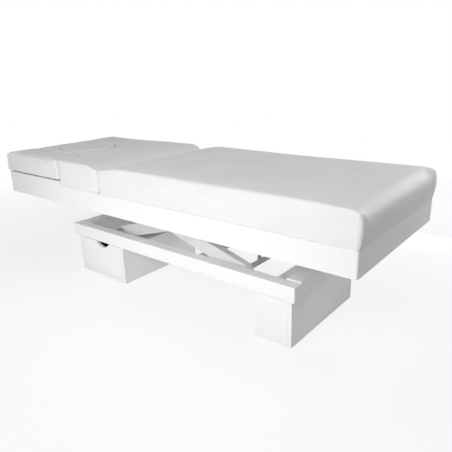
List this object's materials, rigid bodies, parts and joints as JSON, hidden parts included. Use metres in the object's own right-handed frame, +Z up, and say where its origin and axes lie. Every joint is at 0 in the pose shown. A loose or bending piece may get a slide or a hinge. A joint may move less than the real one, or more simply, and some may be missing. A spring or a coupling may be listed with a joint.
{
  "type": "spa bed",
  "caption": "Upholstered spa bed on a scissor lift, with a tilting back, lift-off armrests, a face plug, a drawer cabinet and a pedestal.",
  "frame": {"origin": "on the floor under the middle of the cushions", "axes": "+X along the bed to the foot end, +Y across the bed away from the drawer side, +Z up"},
  "size_m": [2, 0.7, 0.6],
  "materials": {
    "white_vinyl": "soft satin vinyl",
    "white_lacquer": "satin white lacquer on board",
    "deck_plywood": "white-faced plywood",
    "drawer_liner": "pale melamine board",
    "white_steel": "white powder coat",
    "zinc_steel": "zinc-plated steel",
    "dark_steel": "grey powder coat",
    "actuator_grey": "fine-textured moulded housing",
    "roller_nylon": "turned nylon",
    "glide_plastic": "moulded glide"
  },
  "bodies": {
    "base": {"base_rail_near": "white_lacquer", "base_rail_far": "white_lacquer", "base_board_head": "white_lacquer", "base_board_foot": "white_lacquer", "cabinet_side_head": "white_lacquer", "cabinet_side_foot": "white_lacquer", "cabinet_top": "white_lacquer", "cabinet_floor": "white_lacquer", "cabinet_back": "white_lacquer", "drawer_runners": "zinc_steel", "pedestal_panel_foot": "white_lacquer", "pedestal_panel_head": "white_lacquer", "pedestal_side_panels": "white_lacquer", "pedestal_top": "white_lacquer", "floor_glides": "glide_plastic", "lower_track_near": "white_steel", "lower_track_far": "white_steel", "shaft_bearings": "zinc_steel", "actuator_beam": "white_steel", "rear_pin": "zinc_steel", "control_box": "actuator_grey"},
    "lift_arms_a": {"arm_a_near": "white_steel", "arm_a_far": "white_steel", "lift_shaft": "zinc_steel", "lever_pin": "zinc_steel", "upper_axle": "zinc_steel"},
    "lift_arms_b": {"arm_b_near": "white_steel", "arm_b_far": "white_steel", "lower_axle": "dark_steel", "arm_pins": "zinc_steel"},
    "roller_lower_near": {"roller_lower_near": "roller_nylon"},
    "roller_lower_far": {"roller_lower_far": "roller_nylon"},
    "roller_upper_near": {"roller_upper_near": "roller_nylon"},
    "roller_upper_far": {"roller_upper_far": "roller_nylon"},
    "actuator": {"actuator_body": "actuator_grey"},
    "actuator_rod": {"actuator_rod": "zinc_steel"},
    "platform": {"upper_track_near": "white_steel", "upper_track_far": "white_steel", "upper_bearings": "zinc_steel", "cross_members": "white_steel", "skirt_near": "white_lacquer", "skirt_far": "white_lacquer", "skirt_head": "white_lacquer", "skirt_foot": "white_lacquer", "deck": "deck_plywood", "hinge_blocks": "zinc_steel", "ratchet_rails": "white_steel", "body_cushion": "white_vinyl"},
    "back_section": {"back_frame": "white_steel", "back_board": "white_lacquer", "back_cushion": "white_vinyl"},
    "prop": {"prop": "zinc_steel"},
    "armrest_near": {"armrest_near": "white_vinyl", "armrest_base_near": "white_lacquer"},
    "armrest_far": {"armrest_far": "white_vinyl", "armrest_base_far": "white_lacquer"},
    "face_plug": {"face_plug": "white_vinyl"},
    "drawer": {"drawer_front": "white_lacquer", "drawer_box": "drawer_liner", "drawer_slides": "zinc_steel"}
  },
  "joints": [
    {"name": "lift", "type": "hinge", "parent": "base", "child": "lift_arms_a", "pos_m": [-0.347, 0, 0.215], "axis": [0, -1, 0], "range_deg": [0, 21]},
    {"name": "scissor_centre", "type": "hinge", "parent": "lift_arms_a", "child": "lift_arms_b", "pos_m": [0.05, 0, 0.329], "axis": [0, -1, 0], "range_deg": [-42, 0]},
    {"name": "platform_level", "type": "hinge", "parent": "lift_arms_b", "child": "platform", "pos_m": [-0.347, 0, 0.443], "axis": [0, -1, 0], "range_deg": [0, 21]},
    {"name": "roller_lower_near_spin", "type": "hinge", "parent": "lift_arms_b", "child": "roller_lower_near", "pos_m": [0.447, -0.1887, 0.215], "axis": [0, 1, 0], "continuous": true},
    {"name": "roller_lower_far_spin", "type": "hinge", "parent": "lift_arms_b", "child": "roller_lower_far", "pos_m": [0.447, 0.1887, 0.215], "axis": [0, 1, 0], "continuous": true},
    {"name": "roller_upper_near_spin", "type": "hinge", "parent": "lift_arms_a", "child": "roller_upper_near", "pos_m": [0.447, -0.1887, 0.443], "axis": [0, 1, 0], "continuous": true},
    {"name": "roller_upper_far_spin", "type": "hinge", "parent": "lift_arms_a", "child": "roller_upper_far", "pos_m": [0.447, 0.1887, 0.443], "axis": [0, 1, 0], "continuous": true},
    {"name": "actuator_swing", "type": "hinge", "parent": "base", "child": "actuator", "pos_m": [0.16, 0, 0.209], "axis": [0, -1, 0], "range_deg": [0, 3.15]},
    {"name": "actuator_stroke", "type": "slide", "parent": "actuator", "child": "actuator_rod", "axis": [-0.9381, 0, 0.3463], "range_m": [0, 0.058]},
    {"name": "back_tilt", "type": "hinge", "parent": "platform", "child": "back_section", "pos_m": [-0.216, 0, 0.464], "axis": [0, 1, 0], "range_deg": [0, 60], "deforming": ["back_cushion"]},
    {"name": "prop_swing", "type": "hinge", "parent": "back_section", "child": "prop", "pos_m": [-0.546, 0, 0.464], "axis": [0, 1, 0], "range_deg": [-120, 0]},
    {"name": "armrest_near_lift_off", "type": "slide", "parent": "back_section", "child": "armrest_near", "axis": [0, 0, 1], "range_m": [0, 0.12]},
    {"name": "armrest_far_lift_off", "type": "slide", "parent": "back_section", "child": "armrest_far", "axis": [0, 0, 1], "range_m": [0, 0.12]},
    {"name": "face_plug_lift_out", "type": "slide", "parent": "back_section", "child": "face_plug", "axis": [0, 0, 1], "range_m": [0, 0.15]},
    {"name": "drawer_slide", "type": "slide", "parent": "base", "child": "drawer", "axis": [0, -1, 0], "range_m": [0, 0.35]}
  ],
  "couplings": [
    {"joint": "scissor_centre", "follows": "lift", "ratio": -2},
    {"joint": "platform_level", "follows": "lift", "ratio": 1},
    {"joint": "actuator_swing", "follows": "lift", "ratio": 0.15},
    {"joint": "actuator_stroke", "follows": "lift", "m_per_rad": 0.158},
    {"joint": "prop_swing", "follows": "back_tilt", "ratio": -2}
  ]
}
